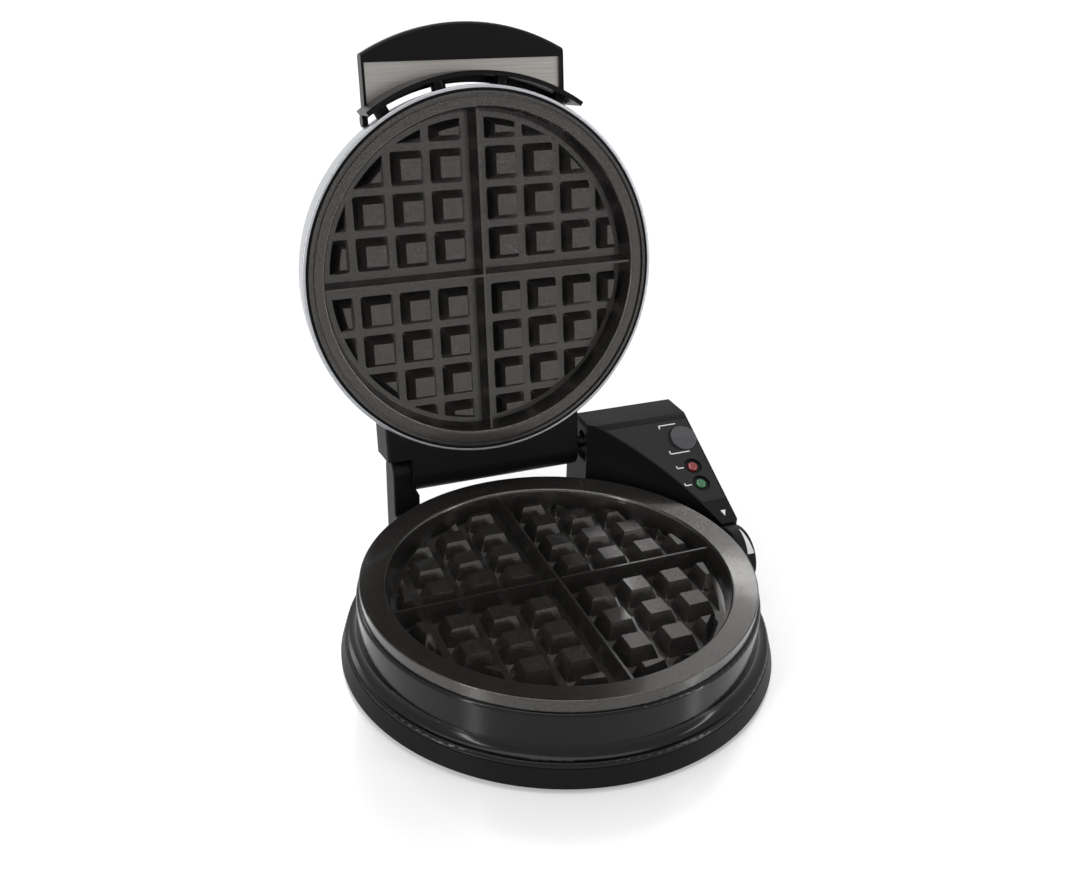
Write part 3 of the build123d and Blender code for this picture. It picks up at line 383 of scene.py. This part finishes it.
def dial_wedge():
    """White wedge printed round the dial's rim, which widens towards the darker settings."""
    shape = bmesh.new()
    rows = []
    for step in range(WEDGE_STEPS + 1):
        share = step / WEDGE_STEPS
        angle = math.radians(WEDGE_START_DEG + share * (WEDGE_END_DEG - WEDGE_START_DEG))
        half = WEDGE_TIP_MM + share * (WEDGE_WIDE_MM - WEDGE_TIP_MM)
        row = []
        for radius in (DIAL_R - WEDGE_SUNK_MM, DIAL_R + WEDGE_PROUD_MM):
            y = DIAL_AXIS_Y + radius * math.cos(angle)
            z = DIAL_AXIS_Z + radius * math.sin(angle)
            for x in (WEDGE_X - half, WEDGE_X + half):
                row.append(shape.verts.new(Vector((x, y, z)) * MM))
        rows.append(row)
    for near, far in zip(rows, rows[1:]):
        for i, j in ((0, 1), (1, 3), (3, 2), (2, 0)):
            shape.faces.new([near[i], near[j], far[j], far[i]])
    for row in (rows[0], rows[-1]):
        shape.faces.new([row[0], row[1], row[3], row[2]])
    piece = inked("dial_wedge_mark", shape)
    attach(piece, "colour_dial")


dial_wedge()

# White table, in metres. Where it is seen it glows a little, from the near lift to the far one,
# so that it meets the white studio behind it without an edge
TABLE_SIZE = 16
TABLE_NEAR, TABLE_FAR = 0.25, 2.2
NEAR_LIFT, FAR_LIFT = 0.42, 0.85
# Share and blur of the object's faint mirror image in the table
MIRROR_SHARE = 0.28
MIRROR_ROUGHNESS = 0.22
# Strength of the white studio as light; where it is seen it is 1
WORLD_LIGHT = 0.3
WHITE = (1, 1, 1, 1)


def any_seen(tree):
    """1 for camera, glossy and transmission rays, which see the white studio, and 0 for light."""
    path = add_node(tree, "ShaderNodeLightPath")
    seen = add_node(
        tree, "ShaderNodeMath",
        {0: path.outputs["Is Camera Ray"], 1: path.outputs["Is Glossy Ray"]}, operation="MAXIMUM",
    )
    return add_node(
        tree, "ShaderNodeMath", {0: seen.outputs[0], 1: path.outputs["Is Transmission Ray"]},
        operation="MAXIMUM",
    ).outputs[0]


def stage():
    """White table with a faint soft mirror, which keeps the object's shadow, in a white studio."""
    bpy.ops.mesh.primitive_plane_add(size=TABLE_SIZE, location=(0, 0, 0))
    floor = bpy.context.object
    floor.name = "studio_table"
    material, tree, shader = new_material(
        "white_studio_table", Base_Color=linear("#f0f0f0"), Roughness=0.8,
        Specular_IOR_Level=0.0, Emission_Color=WHITE,
    )
    place = add_node(tree, "ShaderNodeTexCoord")
    away = add_node(
        tree, "ShaderNodeVectorMath", {0: place.outputs["Object"]}, operation="LENGTH",
    )
    lift = add_node(
        tree, "ShaderNodeMapRange", {"Value": away.outputs["Value"]},
        From_Min=TABLE_NEAR, From_Max=TABLE_FAR, To_Min=NEAR_LIFT, To_Max=FAR_LIFT,
    )
    glow = add_node(
        tree, "ShaderNodeMath", {0: any_seen(tree), 1: lift.outputs[0]}, operation="MULTIPLY",
    )
    tree.links.new(glow.outputs[0], shader.inputs["Emission Strength"])
    mirror = add_node(tree, "ShaderNodeBsdfGlossy", Roughness=MIRROR_ROUGHNESS)
    blend = add_node(
        tree, "ShaderNodeMixShader", {1: shader.outputs["BSDF"], 2: mirror.outputs["BSDF"]},
        Fac=MIRROR_SHARE,
    )
    tree.links.new(blend.outputs[0], tree.nodes["Material Output"].inputs["Surface"])
    floor.data.materials.append(material)
    world = bpy.data.worlds.new("studio")
    bpy.context.scene.world = world
    world.use_nodes = True
    sky = world.node_tree
    strength = add_node(sky, "ShaderNodeMapRange", {"Value": any_seen(sky)}, To_Min=WORLD_LIGHT)
    sky.nodes["Background"].inputs["Color"].default_value = WHITE
    sky.links.new(strength.outputs[0], sky.nodes["Background"].inputs["Strength"])


def softbox(name, place, aim, width, height, watts):
    """Large soft lamp at a place, turned towards aim, all in metres."""
    lamp = bpy.data.lights.new(name, "AREA")
    lamp.shape = "RECTANGLE"
    lamp.size = width
    lamp.size_y = height
    lamp.energy = watts
    holder = bpy.data.objects.new(name, lamp)
    turn = (Vector(aim) - Vector(place)).to_track_quat("-Z", "Y")
    holder.matrix_world = Matrix.Translation(Vector(place)) @ turn.to_matrix().to_4x4()
    bpy.context.scene.collection.objects.link(holder)


def camera():
    """Camera at the photograph's place and angle."""
    yaw, pitch, roll = (math.radians(a) for a in (CAMERA_YAW, CAMERA_PITCH, CAMERA_ROLL))
    level = math.cos(pitch)
    right = Vector((math.cos(yaw), -math.sin(yaw), 0))
    ahead = Vector((math.sin(yaw) * level, math.cos(yaw) * level, -math.sin(pitch)))
    up = right.cross(ahead)
    right_rolled = right * math.cos(roll) + up * math.sin(roll)
    up_rolled = up * math.cos(roll) - right * math.sin(roll)
    data = bpy.data.cameras.new("photo_camera")
    data.sensor_width = SENSOR_MM
    data.lens = FOCAL_PX / FRAME_WIDTH_PX * SENSOR_MM
    eye = bpy.data.objects.new("photo_camera", data)
    axes = Matrix((right_rolled, up_rolled, -ahead)).transposed()
    eye.matrix_world = Matrix.Translation(Vector(CAMERA_PLACE) * MM) @ axes.to_4x4()
    bpy.context.scene.collection.objects.link(eye)
    bpy.context.scene.camera = eye


stage()
softbox("top_softbox", (0.0, 0.1, 1.5), aim=(0, 0, 0.1), width=1.2, height=1.2, watts=9.0)
softbox("left_strip", (-1.15, -0.5, 0.7), aim=(0, 0, 0.08), width=0.1, height=1.3, watts=7.0)
softbox("right_strip", (1.15, -0.75, 0.6), aim=(0, 0, 0.1), width=0.1, height=1.2, watts=5.0)
softbox("back_strip", (0.1, 1.7, 1.35), aim=(0, 0, 0.1), width=1.7, height=0.12, watts=5.5)
camera()

bpy.context.scene.view_settings.view_transform = "Standard"
